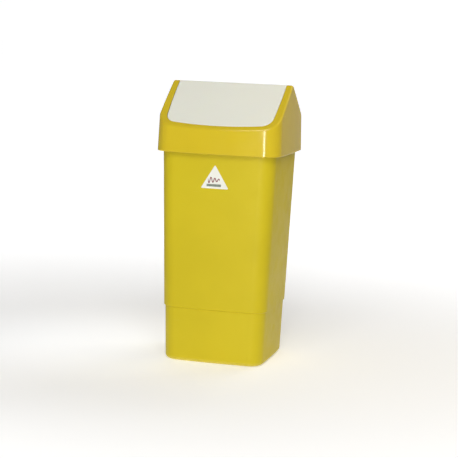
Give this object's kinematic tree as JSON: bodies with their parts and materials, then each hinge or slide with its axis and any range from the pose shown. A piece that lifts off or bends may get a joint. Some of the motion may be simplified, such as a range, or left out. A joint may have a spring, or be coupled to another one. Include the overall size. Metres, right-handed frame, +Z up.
{
  "type": "swing-top waste bin",
  "caption": "Tall tapered yellow plastic waste bin with a ridged lift-off hood and a white two-slope flap that swings under the ridge.",
  "frame": {"origin": "centre of the footprint on the floor", "axes": "+Z up, +X along the roof ridge to the right as seen from the front, -Y towards the front with the sticker"},
  "size_m": [0.316, 0.3084, 0.69],
  "materials": {
    "yellow_satin": "satin moulded polypropylene",
    "yellow_gloss": "glossy moulded polypropylene",
    "white_gloss": "glossy moulded polypropylene",
    "printed_film": "printed vinyl sticker"
  },
  "bodies": {
    "bin_body": {"body_shell": "yellow_satin", "label_sticker": "printed_film"},
    "lid": {"lid_hood": "yellow_gloss"},
    "flap": {"swing_flap": "white_gloss"}
  },
  "joints": [
    {"name": "lid_lift", "type": "slide", "parent": "bin_body", "child": "lid", "axis": [0, 0, 1], "range_m": [0, 0.14]},
    {"name": "flap_swing", "type": "hinge", "parent": "lid", "child": "flap", "pos_m": [0, 0, 0.666], "axis": [1, 0, 0], "range_deg": [-75, 75]}
  ]
}
